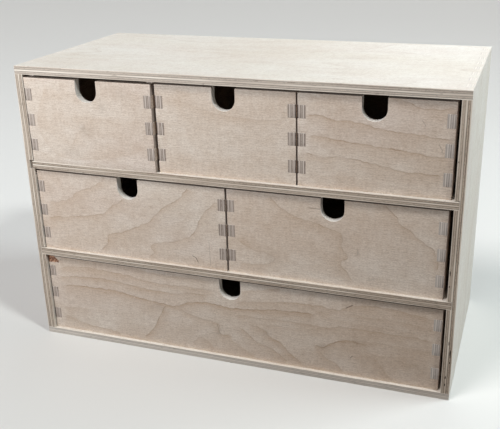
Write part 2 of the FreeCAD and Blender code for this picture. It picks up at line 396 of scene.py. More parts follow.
# %% The face of a board
PALE = colour(239, 225, 210)
WARM = colour(230, 211, 193)
PINK = colour(224, 202, 189)
RING = colour(140, 106, 78)
TAN = colour(192, 159, 127)
GREY = colour(166, 152, 138)
# pale flame figure of the veneer, partly a painted silky sheen
FLAME_AND_SHEEN = colour(250, 246, 244)
DARK = colour(84, 62, 46)
CASE_PALE = colour(245, 240, 231)
CASE_WARM = colour(240, 233, 221)
CASE_FIGURE = 0.6  # the case's veneer is plainer than the fronts'
FACE_RELIEF = 0.06 * MM
RINGS_IN_LOG = 11.0  # growth rings in each swell of the log


def face_finish(name, pale=PALE, warm=WARM, figure=1.0):
    finish, graph = new_finish(name)
    place = read(graph, "log", "Vector")
    drawn = read(graph, "drawn")
    mark = read(graph, "mark")
    broad = noise(place, (6.0, 14.0, 4.0), 2.0)
    blush = noise(place + (3.1, 7.7, 0.0), (4.0, 11.0, 4.0), 1.0)
    fibre = noise(place, (120.0, 950.0, 500.0), 3.0, 0.65)
    strand = noise(place + (1.7, 0.3, 0.0), (22.0, 240.0, 90.0), 2.0)
    grain = noise(place + (0.4, 2.2, 0.0), (560.0, 1150.0, 800.0), 2.0, 0.6)
    pore = ramp(noise(place, (300.0, 3600.0, 1500.0), 1.0), 0.62, 0.74)
    silk = noise(place, (260.0, 80.0, 60.0), 2.0)
    mottle = noise(place + (5.0, 5.0, 0.0), (28.0, 50.0, 20.0), 3.0, 0.6)
    faint = noise(place + (8.0, 4.0, 0.0), (70.0, 140.0, 60.0), 1.0)

    # growth rings where none are drawn: contour lines of a slow swell in the log
    swell = noise(place + (9.0, 2.0, 0.0), (2.6, 9.0, 0.0), 2.0, 0.45)
    phase = graph.math("FRACT", swell * RINGS_IN_LOG + fibre * 0.05)
    free = (1.0 - drawn) * figure
    thin = (1.0 - ramp(phase, 0.0, 0.12)) * ramp(strand, 0.35, 0.6) * free
    side = (1.0 - ramp(phase, 0.0, 0.7)) * free

    # growth rings drawn on a board: a ragged line and a soft shade on one side of it
    ragged = read(graph, "ring") + (fibre - 0.5) * 0.8 + (grain - 0.5) * 0.5
    line = ramp(ragged, 0.3, 0.8) * ramp(faint, 0.35, 0.65, 0.35, 1.0)
    shade = read(graph, "shade") * ramp(silk + strand, 0.7, 1.3, 0.5, 1.2)

    # from broad to fine: blush, rings, clouds, stains and pale flame patches with a painted sheen,
    # fibres, pores, a painted silky sheen, and last the dark ticks
    tone = blend(graph, ramp(broad, 0.3, 0.7), warm, pale)
    tone = lay_over(graph, tone, (
        (ramp(blush, 0.45, 0.75) * 0.35 * figure, PINK),
        (side * 0.12 + shade * 0.64, TAN),
        (thin * 0.2 + line * 0.7, RING),
        (ramp(mottle, 0.35, 0.7, 0.24, 0.0) * figure ** 2, TAN),
        (read(graph, "stain") * 0.6, GREY),
        # pale flame patches, partly a painted sheen
        (read(graph, "flame") * ramp(silk, 0.3, 0.6, 0.5, 1.0), FLAME_AND_SHEEN),
        (ramp(fibre, 0.3, 0.62, 0.26, 0.0) * figure, RING),
        (ramp(grain, 0.3, 0.65, 0.3, 0.0) * figure, RING),
        (ramp(strand, 0.3, 0.7, 0.07, 0.0) * figure, RING),
        (pore * 0.16, RING),
        # painted sheen: a silky gleam painted as paler streaks
        (ramp(silk, 0.4, 0.65, 0.0, 0.14), pale),
        (mark, DARK)))

    rough = ramp(fibre, 0.2, 0.8, 0.66, 0.52)
    height = fibre * 0.5 + strand * 0.5 - pore * 0.6 - mark
    finish_off(graph, tone, rough, height, FACE_RELIEF)
    return finish


FRONT = face_finish("birch_front")
CASE = face_finish("birch_case", CASE_PALE, CASE_WARM, CASE_FIGURE)
print("faces:", FRONT.name, CASE.name)

# %% The edge of a board, and a torn ply
LONG_GRAIN = colour(250, 236, 218)
END_GRAIN = colour(186, 165, 145)
GLUE = colour(70, 50, 36)
# pale sanded edges; on the notch rims this paleness is partly a painted highlight
SANDED = colour(246, 239, 230)
# painted shade: a near-black tone laid where gaps and hollows lie in shade
PAINTED_SHADE_TONE = colour(38, 26, 20)
EDGE_RELIEF = 0.08 * MM
TORN_RELIEF = 0.5 * MM


def edge_finish(name, light=LONG_GRAIN, dim=END_GRAIN, seam_tone=GLUE):
    finish, graph = new_finish(name)
    place = read(graph, "log", "Vector")
    sanded = read(graph, "sanded")
    wander = noise(place + (0.0, 0.0, 5.0), (12.0, 12.0, 0.0), 3.0, 0.5)
    ply = read(graph, "ply") + (wander - 0.5) * 0.2
    number = graph.math("FLOOR", ply)
    within = graph.math("FRACT", ply)
    odd = graph.math("PINGPONG", number, 1.0)
    crossed = graph.math("ABSOLUTE", odd - read(graph, "end"))

    streak = noise(place + (0.0, 0.0, 2.0), (16.0, 16.0, 520.0), 3.0, 0.6)
    speckle = noise(place, (1500.0, 1500.0, 2600.0), 2.0, 0.6)
    dash = ramp(noise(place + (6.0, 6.0, 6.0), (430.0, 430.0, 1100.0), 1.0), 0.5, 0.62)
    cloud = noise(place + (4.0, 4.0, 1.0), (14.0, 14.0, 260.0), 2.0)
    own = graph.add("ShaderNodeTexWhiteNoise", {"noise_dimensions": "1D"}, W=number * 1.37, output="Value")
    seam = graph.math("MINIMUM", within, 1.0 - within)
    glue = (1.0 - ramp(seam, 0.08, 0.22)) * ramp(cloud, 0.3, 0.6, 0.22, 0.7)
    slit = ramp(noise(place + (0.0, 0.0, 8.0), (120.0, 120.0, 900.0), 1.0), 0.7, 0.78)

    # the plies turn about, each a little lighter or darker, then what closes or darkens them, and last the
    # painted shade
    long_tone = blend(graph, ramp(streak, 0.3, 0.75), dim, light)
    end_tone = blend(graph, ramp(speckle, 0.35, 0.65), blend(graph, 0.3, dim, seam_tone), dim)
    end_tone = blend(graph, dash * 0.4, end_tone, seam_tone)
    tone = lay_over(graph, blend(graph, crossed, long_tone, end_tone), (
        (ramp(cloud, 0.35, 0.7, 0.3, 0.0), dim),
        (own * 0.18, light),
        (sanded, SANDED),
        (glue * (1.0 - sanded * 0.9), seam_tone),
        (slit * 0.7 * (1.0 - sanded), DARK),
        # painted shade: near black on the faces beside the gaps, in the housing and in the voids
        (read(graph, "painted_shade"), PAINTED_SHADE_TONE)))

    rough = ramp(speckle, 0.2, 0.8, 0.72, 0.6)
    height = streak * 0.4 + speckle * 0.6 - glue * 0.6 - slit * 1.5 - crossed * 0.3
    finish_off(graph, tone, rough, height, EDGE_RELIEF)
    return finish


def bared_finish(name, light, dark):
    finish, graph = new_finish(name)
    place = read(graph, "log", "Vector")
    blotch = noise(place, (520.0, 620.0, 500.0), 2.0, 0.6)
    splinter = noise(place + (2.0, 2.0, 2.0), (1400.0, 260.0, 500.0), 2.0)
    tone = blend(graph, ramp(blotch * 0.7 + splinter * 0.3, 0.38, 0.6), dark, light)
    finish_off(graph, tone, 0.75, blotch + splinter, TORN_RELIEF)
    return finish


EDGE = edge_finish("birch_edge")
FINGER = edge_finish("birch_finger", colour(208, 193, 179), colour(176, 159, 147), colour(92, 72, 60))
BARED = bared_finish("bared_ply", colour(208, 158, 126), colour(104, 62, 44))
print("edges:", EDGE.name, FINGER.name, BARED.name)

# %% [markdown]
# ## Making the boards
#
# Each board is made in place from its own box in the frame. The rows of fingers are read from the
# packed board as well: the heights at which its ends step in and out give the first finger, the
# pitch and the count. Typed in again, they could drift apart. A small bevel rounds every arris, as
# sandpaper does, and where two boards meet flush the two bevels leave the fine line of a joint.

# %% Measures of a packed board
TINY = 0.01 * MM  # two measures nearer to each other than this are the same


def numbers(items, name):
    flat = np.empty(len(items) * 3, np.float32)
    items.foreach_get(name, flat)
    return flat.reshape(-1, 3).astype(float)


def thickness(node):
    return min(b - a for a, b in zip(*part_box(node)))


def steps(node, along, across):
    """Heights at which the low end of a packed board steps in and out, from low to high."""
    co = numbers(frame["nodes"][node].data.vertices, "co")
    end = co[co[:, along] < co[:, along].min() + TINY]
    heights = sorted(end[:, across])
    return [h for k, h in enumerate(heights) if k == 0 or h - heights[k - 1] > TINY]


print("top panel:", round(thickness("top_panel") / MM, 2), "mm thick")

# %% The rows of boxes at a board's two ends
ROOT = 1.0 * MM  # how far a finger's box runs into the board that carries it


def unit(axis):
    return Vector([1.0 if k == axis else 0.0 for k in range(3)])


def comb(node, along, across, through, reach, stands_out, proud):
    """The tree's inputs for the two rows of fingers or slots at the ends of a board."""
    low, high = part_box(node)
    heights = steps(node, along, across)[0 if stands_out else 1:]
    tall = heights[1] - heights[0]
    inputs = {"Step": unit(across) * (heights[2] - heights[0]), "Count": len(heights) // 2,
        "Stands Out": stands_out}
    inner, outer = (ROOT, proud) if stands_out else (0.0, PAST)
    wide = high[through] - low[through] + (0.0 if stands_out else 2 * PAST)
    for end, side, size, sign in (("Low", low, reach[0], 1), ("High", high, reach[1], -1)):
        far = side[along] + sign * (size + inner)
        edge = side[along] - sign * outer
        start, finger = Vector(), Vector()
        start[along], finger[along] = (far + edge) / 2, abs(far - edge)
        start[across], finger[across] = heights[0] + tall / 2, tall
        start[through], finger[through] = (low[through] + high[through]) / 2, wide
        inputs.update({f"{end} Start": start, f"{end} Finger": finger})
    return inputs


print("a finger's box starts", ROOT / MM, "mm inside its board")

# %% Seams that a late cut leaves open
def close_seams(mesh):
    """Where a face runs straight past a corner of its neighbours, give it that corner too."""
    shape = bmesh.new()
    shape.from_mesh(mesh)
    loose = [e for e in shape.edges if len(e.link_faces) == 1]
    corners = {v for e in loose for v in e.verts}
    added = []
    for edge in loose:
        start, end = edge.verts
        way = end.co - start.co
        for corner in corners - {start, end}:
            share = (corner.co - start.co).dot(way) / way.length_squared
            if 0 < share < 1 and (start.co + way * share - corner.co).length < WELD:
                added.append(bmesh.utils.edge_split(edge, start, share)[1])
                break
    bmesh.ops.remove_doubles(shape, verts=[*corners, *added], dist=WELD)
    shape.to_mesh(mesh)
    shape.free()
    print(mesh.name, "corners given:", len(added))


print("corners join within", WELD / MM, "mm")

# %% One board from the frame
ARRIS = 0.22 * MM
ARRIS_STEPS = 2
ARRIS_TURN = math.radians(40)  # only edges that turn more than this are rounded
boards, axes = {}, {}


def add_object(name, data):
    made = bpy.data.objects.new(name, data)
    bpy.context.scene.collection.objects.link(made)
    return made


def add_modifier(piece, name, kind, **settings):
    added = piece.modifiers.new(name, kind)
    for key, value in settings.items():
        setattr(added, key, value)
    return added


def board(node, grain, reach=None, stands_out=False, proud=0.0, cutters=(), late=()):
    """Make one board in place: grain names the two axes of its face, the grain's own first."""
    along, across = AXES[grain[0]], AXES[grain[1]]
    through = 3 - along - across
    low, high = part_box(node)
    inputs = {"Count": 0, "Stands Out": False, "Through": unit(through),
        "Face Finish": FRONT if "drawer" in node or node == "back_panel" else CASE,
        "Edge Finish": FINGER if "drawer" in node else EDGE}
    if reach:
        inputs.update(comb(node, along, across, through, reach, stands_out, proud))
        if stands_out:
            low, high = low + unit(along) * reach[0], high - unit(along) * reach[1]
    inputs.update({"Corner": low, "Size": high - low})
    if cutters:
        inputs["Cutters"] = cutter_object(f"{node}_cutters", cutters)
    holder = add_object(f"{node}_maker", bpy.data.meshes.new("empty"))
    maker = add_modifier(holder, "board", "NODES", node_group=BOARD_TREE)
    for name, value in inputs.items():
        maker[SOCKETS[name]] = value
    add_modifier(holder, "arris", "BEVEL", width=ARRIS, segments=ARRIS_STEPS, limit_method="ANGLE",
        angle_limit=ARRIS_TURN, miter_outer="MITER_ARC")
    if late:
        add_modifier(holder, "hollows", "BOOLEAN", operation="DIFFERENCE", solver="EXACT",
            object=cutter_object(f"{node}_hollows", late))
    ready = holder.evaluated_get(bpy.context.evaluated_depsgraph_get())
    mesh = bpy.data.meshes.new_from_object(ready)
    mesh.name = node
    if mesh.materials[0] is None:
        mesh.materials.pop(index=0)
    if late:
        close_seams(mesh)
    bpy.data.objects.remove(holder)
    boards[node], axes[node] = add_object(f"{node}_board", mesh), (along, across, through)


print("arrises are rounded by", ARRIS / MM, "mm")

# %% [markdown]
# ## The case
#
# Top and base are slotted boards, the sides carry the fingers, and two shelves sit in housings cut
# across the sides. Bought plywood has small gaps in its inner plies, and a few show as dark slots
# in the right side's front edge. They are cut as real hollows, which take real shadow, and their
# walls also get a near-black painted shade further on. They are cut after the arrises are rounded,
# so that their own rims stay sharp.

# %% The seven boards of the case
SHY = 0.06 * MM  # the sides' fingers lie this far below the top and the base
BACK_PLAY = 0.2 * MM
HOUSING_DEPTH = 4.2 * MM
HOUSING_PLAY = {"lower_shelf": 0.4 * MM, "upper_shelf": 0.9 * MM}
VOID_DEPTH = 2.0 * MM
VOIDS = [(203.0, 126.5, 0.9, 5.0), (203.0, 114.0, 0.8, 1.6), (208.2, 48.0, 0.9, 9.0),
    (208.2, 39.2, 0.8, 2.6), (205.5, 23.5, 0.8, 3.4), (205.5, 15.8, 0.8, 3.0),
    (203.0, 226.0, 0.8, 1.6)]  # across, up, width and height in millimetres
back_groove = around("back_panel", (BACK_PLAY, 0.0, BACK_PLAY))
side_thickness = thickness("left_side_panel")

for lid in ("top_panel", "base_panel"):
    board(lid, "xy", reach=(side_thickness, side_thickness), cutters=[back_groove])

for side, sign in (("left_side_panel", -1), ("right_side_panel", 1)):
    low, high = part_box(side)
    inner = low.x if sign > 0 else high.x
    start, end = sorted((inner - sign * PAST, inner + sign * HOUSING_DEPTH))
    housings = []
    for shelf, play in HOUSING_PLAY.items():
        shelf_low, shelf_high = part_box(shelf)
        housings.append(box_cutter((start, shelf_low.y - PAST, shelf_low.z),
            (end, shelf_high.y + PAST, shelf_high.z + play)))
    hollows = []
    if sign > 0:
        hollows = [void_cutter(*(v * MM for v in void), VOID_DEPTH) for void in VOIDS]
    board(side, "zy", reach=(thickness("base_panel"), thickness("top_panel")), stands_out=True,
        proud=-SHY, cutters=[*housings, back_groove], late=hollows)

for shelf in ("lower_shelf", "upper_shelf", "back_panel"):
    board(shelf, "xz" if shelf == "back_panel" else "xy")
print("case boards:", len(boards))

# %% [markdown]
# ## The drawers
#
# Each drawer is an open box of five boards, with three fingers of each side through its front.
# The fingers stand a hair proud, and the fronts' tops are planed a little to run free. One corner
# of the widest front is chipped. One drawer could be copied and stretched, but that would stretch
# its fingers too, so a loop makes all six.

# %% The five boards of every drawer
DRAWERS = [name for name in frame["bodies"] if name.endswith("_drawer")]
BOTTOM_PLAY = 0.15 * MM
PROUD = 0.08 * MM  # the sides' fingers stand this far out of the fronts
SHAVED = 0.8 * MM  # planed off the tops of the fronts, so that they clear the board above
EASED = 0.4 * MM  # a small chamfer down both outer corners of a drawer's front
CHIP_DEPTH = 0.55 * MM
CHIP = [(-202.5, 92.0), (-195.5, 92.0), (-194.6, 88.9), (-193.2, 88.2), (-192.6, 86.9), (-191.0, 86.6),
    (-190.9, 85.4), (-189.2, 85.0), (-189.9, 83.6), (-189.0, 82.6), (-191.2, 82.3), (-192.6, 83.1),
    (-194.3, 82.0), (-196.4, 82.7), (-198.4, 81.9), (-202.5, 82.2)]

for drawer in DRAWERS:
    wall = thickness(f"{drawer}_left_side")
    depth = thickness(f"{drawer}_front")
    low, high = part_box(f"{drawer}_front")
    groove = around(f"{drawer}_bottom", (BOTTOM_PLAY, BOTTOM_PLAY, 0.0))
    shave = box_cutter((low.x - PAST, low.y - PAST, high.z - SHAVED),
        (high.x + PAST, high.y + PAST, high.z + PAST))
    eased = {sign: corner_cutter(x, low.y - PROUD, low.z, high.z, sign, EASED)
        for sign, x in ((-1, low.x), (1, high.x))}
    front_cutters = [groove, notch_cutter(f"{drawer}_front"), shave, *eased.values()]
    if drawer == "bottom_drawer":
        outline = [(x * MM, z * MM) for x, z in CHIP]
        front_cutters.append(prism(outline, low.y - PAST, low.y + CHIP_DEPTH, "y"))
    board(f"{drawer}_front", "xz", reach=(wall, wall), cutters=front_cutters)
    board(f"{drawer}_back", "xz", reach=(wall, wall), cutters=[groove])
    for side, sign in (("left", -1), ("right", 1)):
        board(f"{drawer}_{side}_side", "yz", reach=(depth, depth), stands_out=True, proud=PROUD,
            cutters=[groove, eased[sign]])
    board(f"{drawer}_bottom", "xy")
print("all boards:", len(boards))

# %% [markdown]
# ## The figure on the fronts
#
# What catches the eye on the six fronts is their figure: thin brown growth lines that wander
# across the veneer, each with a soft shade on one side. Noise alone would give other lines, so the
# main ones are drawn as curves. They could be painted into a picture, but here the face itself
# gets vertices along each curve, with the darkness stored on them, and the finish roughens the
# line along the fibres. Each line is drawn so that its shaded side is on the right hand.

# %% Growth lines: darkness, then points as pairs of millimetres across and up
RINGS = {
    "top_left_drawer": [
        (0.36, (-76, 214, -88, 210, -100, 205.5, -125, 200.5, -150, 197.5, -166, 198, -176, 203,
         -185, 212, -190, 225, -190, 240, -184, 256, -177, 270)),
        (0.3, (-160, 203, -157, 210, -152, 219, -146, 226, -141, 232, -132, 238, -119, 240.5, -108, 237,
         -100, 236.5, -89, 239.5, -77, 240)),
    ],
    "top_middle_drawer": [
        (0.45, (-48, 263, -30, 257, -12, 252, 0, 250.5, 20, 248.5, 40, 248.5, 55, 250)),
        (0.35, (-46, 270, -30, 268, -14, 271)),
        (0.2, (-58, 208, -20, 204, 20, 200.5, 52, 199)),
    ],
    "top_right_drawer": [
        (0.75, (73, 255.5, 86, 256, 100, 253, 115, 252.5, 133, 249, 150, 246.5, 175, 244.5, 198, 242)),
        (0.8, (75, 237, 88, 237.5, 103, 235.8, 122, 234, 140, 232.5, 155, 231, 167, 229.7, 182, 228,
         198, 227.5)),
        (0.7, (71, 223.5, 80, 221, 92, 219.5, 104, 220.5, 117, 220, 130, 217.5, 143, 215.5, 155, 213,
         170, 212.5, 192, 211.5)),
        (0.6, (143, 278, 152, 274, 160, 271.5, 170, 267, 180, 267, 198, 268.5)),
        (0.4, (70, 276, 84, 272.5, 95, 274, 106, 272)),
        (0.3, (80, 203, 110, 204, 140, 200, 175, 198)),
    ],
    "middle_left_drawer": [
        (0.6, (-192, 150, -177, 151.5, -168, 155, -163, 157.5, -160, 162.5, -152, 165.5, -143, 169,
         -134, 174, -125, 182)),
        (0.65, (-196, 133, -180, 135, -165, 137, -145, 140, -132, 143, -126, 148, -121, 152, -115, 156,
         -105, 162)),
        (0.7, (-139, 102, -134, 107, -129, 111, -128.5, 117, -126, 122, -112, 126, -104, 129, -98, 132,
         -90, 136, -82, 139, -78, 144, -73, 150, -65, 157, -52, 165, -44, 173, -38, 182)),
        (0.68, (-86, 102, -80, 107, -78, 109, -81, 114, -77, 118, -66, 121.5, -55, 123, -46, 127,
         -39, 131, -33, 139, -28, 150, -23, 157, -16, 164, -12, 169)),
        (0.3, (-60, 139, -48, 145, -40, 152)),
    ],
    "middle_right_drawer": [
        (0.65, (38, 180, 44, 175, 52, 168, 60, 164, 70, 160.5, 82, 158, 90, 155.5, 98, 153.5, 105, 151,
         108, 146, 107, 140, 109, 135, 113, 128, 107, 124.5, 108, 118, 113, 114, 115, 109, 121, 104)),
        (0.65, (143, 183, 150, 176, 155, 171, 158, 165.5, 168, 159.5, 174, 154, 180, 149, 187, 145,
         190, 138, 192, 132, 190, 125)),
        (0.6, (9, 109.5, 25, 110, 36, 111.5, 43, 116, 43, 120, 36, 122.5, 26, 123.5, 20, 126, 13, 129.5,
         6, 134)),
        (0.25, (52, 118, 70, 116, 86, 117, 96, 114)),
    ],
    "bottom_drawer": [
        (0.35, (-188, 88, -165, 89.5, -140, 90, -115, 88.5, -95, 87, -75, 85, -45, 85.5, -20, 86)),
        (0.6, (-192, 76, -173, 80, -148, 81.3, -123, 80, -107, 78.3, -90, 75.8, -68, 74.7, -42, 75.8,
         -16, 75.8)),
        (0.65, (-193, 65, -182, 67.5, -165, 69.5, -148, 70.8, -132, 70.8, -122, 70, -108, 68.3, -95, 67.2,
         -73, 66.3, -57, 66.7, -40, 69, -22, 69.5)),
        (0.8, (-192, 56, -182, 58, -165, 59.2, -148, 59.5, -132, 60, -122, 59.2, -112, 57.5, -98, 55.5,
         -85, 54, -72, 53, -62, 52, -55, 54.5, -48, 58, -38, 60.5, -27, 61.7, -15, 60.5, 0, 59.5,
         25, 61.7, 42, 64.2, 58, 65, 75, 66.3, 88, 66.3)),
        (0.7, (-98, 11.5, -92, 16, -87, 22, -82, 29, -78, 38, -74, 46, -70, 52)),
        (0.6, (-58, 52, -48, 46.7, -38, 44.2, -27, 42.5, -17, 40.8, -14, 36.7, -13, 29.5, 0, 28.3)),
        (0.5, (-44, 13, -40, 17, -35, 21.7, -30, 20, -23, 15, -20, 10)),
        (0.45, (-190, 31.5, -173, 33, -162, 34.2)),
        (0.55, (-190, 21.7, -178, 19.2, -165, 15.5, -148, 13.5, -135, 13, -124, 9.5)),
        (0.5, (10, 79, 22, 82, 33, 84.5, 50, 88)),
        (0.55, (2, 66.5, 17, 69, 33, 71, 50, 74, 67, 75.3, 85, 75.8, 100, 74, 107, 75, 115, 79, 133, 82.5,
         158, 82.5, 175, 80, 194, 78)),
        (0.4, (80, 71, 97, 70.5, 115, 72, 133, 71, 155, 72, 194, 68.5)),
        (0.35, (95, 64, 115, 63.5, 133, 62, 155, 63, 180, 61)),
        (0.6, (0, 50.5, 12, 53, 33, 53.2, 50, 54.5, 72, 54.5, 93, 54, 107, 56.5, 117, 57.5, 143, 57,
         167, 57.5, 194, 55.8)),
        (0.5, (15, 47.5, 25, 47, 42, 47.8, 67, 48, 80, 50, 93, 53)),
        (0.6, (8, 39.5, 17, 32.5, 25, 27, 35, 23.3, 42, 20, 50, 15, 57, 9.5)),
        (0.65, (17, 44, 28, 42.5, 36, 39, 36, 36.5, 45, 31.7, 52, 26.7, 58, 20, 71, 9.5)),
        (0.75, (82, 33.3, 91, 32.3, 97, 36.7, 107, 41.7, 113, 44.2, 123, 43.3, 134, 42)),
        (0.6, (85, 30.8, 90, 25, 97, 19.5, 105, 16.5, 111, 9.5)),
        (0.45, (113, 44.2, 125, 45.3, 150, 46, 194, 44.5)),
        (0.4, (103, 34, 117, 34.5, 133, 35, 143, 32.5, 157, 34, 175, 36.5, 192, 33)),
        (0.45, (120, 26.5, 126, 29, 133, 31.5, 142, 28, 146, 22.5, 151, 16, 158, 9.5)),
        (0.4, (166, 28, 177, 30, 184, 25, 188, 21)),
        (0.35, (-4, 26, 6, 20, 16, 13.5, 22, 9.5)),
    ],
}
print("growth lines:", sum(len(lines) for lines in RINGS.values()))

# %% Small marks: ticks from one point to another, then the middle and size of stains and of pale flame patches, which carry a painted sheen
TICKS = {
    "top_right_drawer": [(172.5, 256.5, 174.5, 253.5, 0.4), (187, 237, 189, 234, 0.4),
        (70.5, 264, 72, 260, 0.3), (70.2, 260, 71.4, 257, 0.3)],
    "middle_left_drawer": [(-37.5, 110.3, -35, 109.3, 0.95), (-34.5, 109, -32.5, 105, 0.95),
        (-20.3, 126, -19.5, 102, 0.3)],
    "middle_right_drawer": [(122, 136, 122, 132.5, 0.35), (131.5, 108.4, 136, 109.6, 0.3),
        (78, 171.9, 88, 171.6, 0.6)],
    "bottom_drawer": [(112.5, 77.5, 118.8, 81.5, 1.0), (117.5, 25.5, 119.5, 28, 0.7),
        (-16, 39, -13, 29, 0.3), (-22, 29, -13, 28.8, 0.25), (192, 21, 193, 20, 0.9),
        (-187.6, 85.9, -187.0, 86.6, 0.5)],
}
STAINS = {
    "top_left_drawer": [(-119.5, 250, 3.5, 5, 0.6), (-142.5, 229, 4, 4.5, 0.6), (-133, 229, 3, 3, 0.3),
        (-98, 264, 7, 5, 0.35), (-155, 204, 8, 6, 0.35), (-137, 221, 6, 5, 0.2)],
    "bottom_drawer": [(-79, 48, 7, 4, 0.5), (-14, 32, 4, 6, 0.5), (34, 38, 4, 3, 0.5),
        (90, 33, 6, 2.5, 0.5), (123, 43, 7, 3, 0.4), (-70, 86, 10, 3, 0.2), (180, 26, 10, 5, 0.25),
        (192.5, 20.5, 1, 1, 1.2)],
    "middle_right_drawer": [(108, 146, 4, 6, 0.3), (122, 134, 1.2, 2, 0.6), (40, 118, 8, 6, 0.25)],
    "middle_left_drawer": [(-103, 144, 3, 2, 0.2), (-98, 122, 8, 3, 0.2), (-60, 150, 40, 20, 0.12)],
}
# pale patches of flame figure, partly a painted sheen: middle, size and strength
FLAME_AND_SHEEN_PATCHES = {
    "bottom_drawer": [(-141, 47, 17, 9, 0.85), (-60, 35, 14, 16, 0.7), (-75, 62, 20, 5, 0.5),
        (20, 39, 9, 4, 0.6), (137, 22, 13, 5, 0.7), (134, 15, 5, 4, 0.5), (48, 66, 14, 5, 0.4),
        (78, 31, 12, 6, 0.4)],
    "top_right_drawer": [(152, 227, 4, 3, 0.5), (150, 235, 30, 10, 0.15)],
    "middle_right_drawer": [(12, 117, 12, 6, 0.4), (95, 118, 14, 20, 0.25), (122, 148, 14, 8, 0.2)],
    "middle_left_drawer": [(-75, 108, 12, 6, 0.25), (-110, 150, 14, 8, 0.3)],
}
print("ticks:", sum(map(len, TICKS.values())), "stains:", sum(map(len, STAINS.values())),
    "light patches:", sum(map(len, FLAME_AND_SHEEN_PATCHES.values())))

# %% Curves through the drawn points
LINE_STEP = 0.8 * MM
WAVER = 0.75 * MM  # how far a line strays to either side
WAVER_SPAN = 5  # so many random steps are averaged into one
chance = np.random.default_rng(7)


def smooth_curve(points):
    """A curve through drawn points in millimetres, in even small steps, in metres."""
    p = np.array(points, float).reshape(-1, 2) * MM
    p = np.vstack([2 * p[0] - p[1], p, 2 * p[-1] - p[-2]])
    pieces = []
    for a, b, c, d in zip(p, p[1:], p[2:], p[3:]):
        count = max(2, int(np.linalg.norm(c - b) / LINE_STEP))
        t = (np.arange(count) / count)[:, None]
        pieces.append(0.5 * (2 * b + (c - a) * t + (2 * a - 5 * b + 4 * c - d) * t ** 2
            + (3 * b - a - 3 * c + d) * t ** 3))
    pieces.append(p[-2][None])
    return np.vstack(pieces)


def waver(curve):
    """Move a curve sideways by small steps, as the cut rings of real veneer waver."""
    way = np.gradient(curve, axis=0)
    normal = np.stack([way[:, 1], -way[:, 0]], 1) / np.linalg.norm(way, axis=1)[:, None]
    draws = chance.normal(size=len(curve) + WAVER_SPAN - 1)
    walk = np.convolve(draws, np.ones(WAVER_SPAN) / WAVER_SPAN, "valid")
    return curve + normal * walk[:, None] * WAVER, normal


def nearest(points, curve):
    """Distance to a curve, which side of it, and how far along it, for many points at once."""
    a, b = curve[:-1], curve[1:]
    way = b - a
    best = np.full(len(points), np.inf)
    side = np.zeros(len(points))
    share = np.zeros(len(points))
    for k in range(len(a)):
        t = np.clip(((points - a[k]) @ way[k]) / max(way[k] @ way[k], 1e-18), 0, 1)
        gap = points - a[k] - t[:, None] * way[k]
        far = np.hypot(gap[:, 0], gap[:, 1])
        turn = gap[:, 0] * way[k][1] - gap[:, 1] * way[k][0]
        near = far < best
        best[near], side[near] = far[near], np.sign(turn[near])
        share[near] = (k + t[near]) / len(a)
    return best, side, share


print("lines stray by about", round(WAVER / MM, 2), "mm")

# %% The points that the face of one front needs
LINE_HALF = 1.3 * MM  # from a line's middle, where it is darkest, to where it ends
LINE_OFFSETS = (0.0, 0.4 * MM, -0.4 * MM, LINE_HALF, -LINE_HALF, 2.5 * LINE_HALF)
TICK_HALF = 0.55 * MM
LATTICE = 4.5 * MM  # between the points of the rest of the face


def figure(drawer):
    """The growth lines and ticks of one front, and the points that they need."""
    lines, extra = [], []
    for strength, points in RINGS[drawer]:
        curve, normal = waver(smooth_curve(points))
        lines.append((strength, curve))
        extra += [curve + normal * offset for offset in LINE_OFFSETS]
    ticks = [(strength, smooth_curve(ends)) for *ends, strength in TICKS.get(drawer, [])]
    for _, tick in ticks:
        normal = np.array([tick[-1][1] - tick[0][1], tick[0][0] - tick[-1][0]])
        normal /= np.linalg.norm(normal)
        extra += [tick + normal * offset for offset in (0.0, TICK_HALF, -TICK_HALF)]
    low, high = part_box(f"{drawer}_front")
    across, up = np.meshgrid(np.arange(low.x, high.x, LATTICE), np.arange(low.z, high.z, LATTICE))
    extra.append(np.stack([across.ravel(), up.ravel()], 1))
    return lines, ticks, np.vstack(extra)


print("rows of points along a line:", len(LINE_OFFSETS))

# %% The outline of the flat front face
FLAT_FRONT = 0.999  # faces whose normals point forward by this much are the flat front


def inside(points, loop):
    x, y = points[:, 0], points[:, 1]
    found = np.zeros(len(points), bool)
    for (x0, y0), (x1, y1) in zip(loop, np.roll(loop, -1, axis=0)):
        crosses = (y0 > y) != (y1 > y)
        if y0 != y1:
            found ^= crosses & (x < (x1 - x0) * (y - y0) / (y1 - y0) + x0)
    return found


def flat_front(shape, plane):
    """The flat faces of a front at a place on y, and the corners around them in order."""
    flat = {f for f in shape.faces
        if f.normal.y < -FLAT_FRONT and abs(f.calc_center_median().y - plane) < TINY}
    rim = [e for e in shape.edges if sum(f in flat for f in e.link_faces) == 1]
    follow = {}
    for e in rim:
        for v in e.verts:
            follow.setdefault(v, []).append(e.other_vert(v))
    loop, before = [rim[0].verts[0]], None
    while len(loop) <= len(rim):
        ahead = next(v for v in follow[loop[-1]] if v != before)
        before = loop[-1]
        if ahead == loop[0]:
            break
        loop.append(ahead)
    return flat, loop


print("flat front: within", TINY / MM, "mm")

# %% A face with vertices along its growth lines
RIM = 0.25 * MM  # nothing is placed nearer to the rim of the face
CELL = 0.15 * MM  # of the points in a square of this size, one is kept
EXACT = 1e-9


